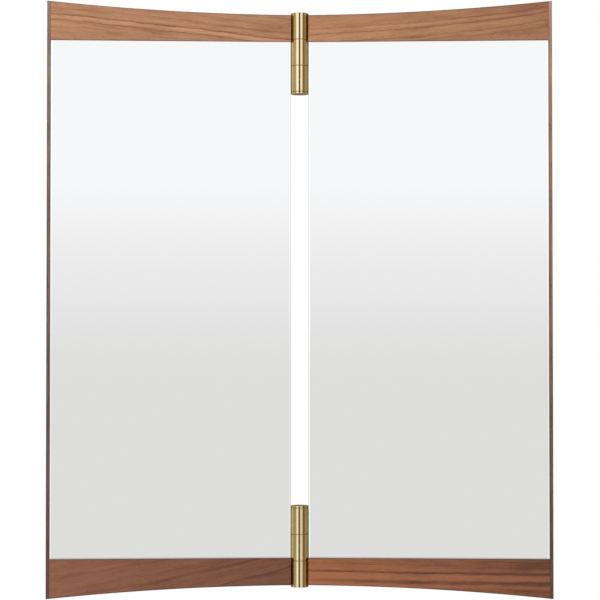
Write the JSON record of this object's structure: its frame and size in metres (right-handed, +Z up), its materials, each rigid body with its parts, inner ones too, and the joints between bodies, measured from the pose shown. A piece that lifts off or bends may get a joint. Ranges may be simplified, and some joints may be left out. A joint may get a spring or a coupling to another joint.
{
  "type": "folding wall mirror",
  "caption": "Wall mirror of hinged panels with hollow-arched walnut rails; brass barrel hinges hold it off the wall and let each panel swing forward.",
  "frame": {"origin": "on the wall's face, at the middle of the four wall screws", "axes": "+X to the viewer's right, +Y into the wall, +Z up along the hinge axis"},
  "size_m": [0.5938, 0.0531, 0.7],
  "materials": {
    "walnut": "oiled American walnut, satin",
    "core_board": "walnut-veneered board, matt lacquer",
    "beech": "fluted beech dowel, bare",
    "silvered_glass": "silvered float glass, polished arris",
    "mounting_tape": "foam mounting tape",
    "polished_brass": "polished, lacquered",
    "brass_screws": "machined",
    "zinc_plated_steel": "zinc-plated, satin",
    "bronze": "phosphor bronze, turned",
    "rubber": "matt black"
  },
  "bodies": {
    "wall_mount": {"top_wall_plate": "zinc_plated_steel", "top_wall_stem": "polished_brass", "top_grub_screw": "zinc_plated_steel", "top_wall_knuckle": "polished_brass", "top_hinge_pin": "zinc_plated_steel", "top_friction_washers": "bronze", "top_inner_cap": "polished_brass", "bottom_wall_plate": "zinc_plated_steel", "bottom_wall_stem": "polished_brass", "bottom_grub_screw": "zinc_plated_steel", "bottom_wall_knuckle": "polished_brass", "bottom_hinge_pin": "zinc_plated_steel", "bottom_friction_washers": "bronze", "bottom_inner_cap": "polished_brass"},
    "left_panel": {"left_top_rail": "walnut", "left_bottom_rail": "walnut", "left_outer_stile": "walnut", "left_inner_stile": "walnut", "left_core_board": "core_board", "left_mirror_glass": "silvered_glass", "left_mirror_tape": "mounting_tape", "left_dowels": "beech", "left_wall_bumpers": "rubber", "left_top_hinge_leaf": "polished_brass", "left_bottom_hinge_leaf": "polished_brass", "left_hinge_screws": "brass_screws", "left_outer_cap": "polished_brass"},
    "right_panel": {"right_top_rail": "walnut", "right_bottom_rail": "walnut", "right_outer_stile": "walnut", "right_inner_stile": "walnut", "right_core_board": "core_board", "right_mirror_glass": "silvered_glass", "right_mirror_tape": "mounting_tape", "right_dowels": "beech", "right_wall_bumpers": "rubber", "right_top_hinge_leaf": "polished_brass", "right_bottom_hinge_leaf": "polished_brass", "right_hinge_screws": "brass_screws", "right_outer_cap": "polished_brass"}
  },
  "joints": [
    {"name": "left_panel_swing", "type": "hinge", "parent": "wall_mount", "child": "left_panel", "pos_m": [0, -0.03, 0], "axis": [0, 0, 1], "range_deg": [-5.9, 49]},
    {"name": "right_panel_swing", "type": "hinge", "parent": "wall_mount", "child": "right_panel", "pos_m": [0, -0.03, 0], "axis": [0, 0, -1], "range_deg": [-5.9, 49]}
  ]
}
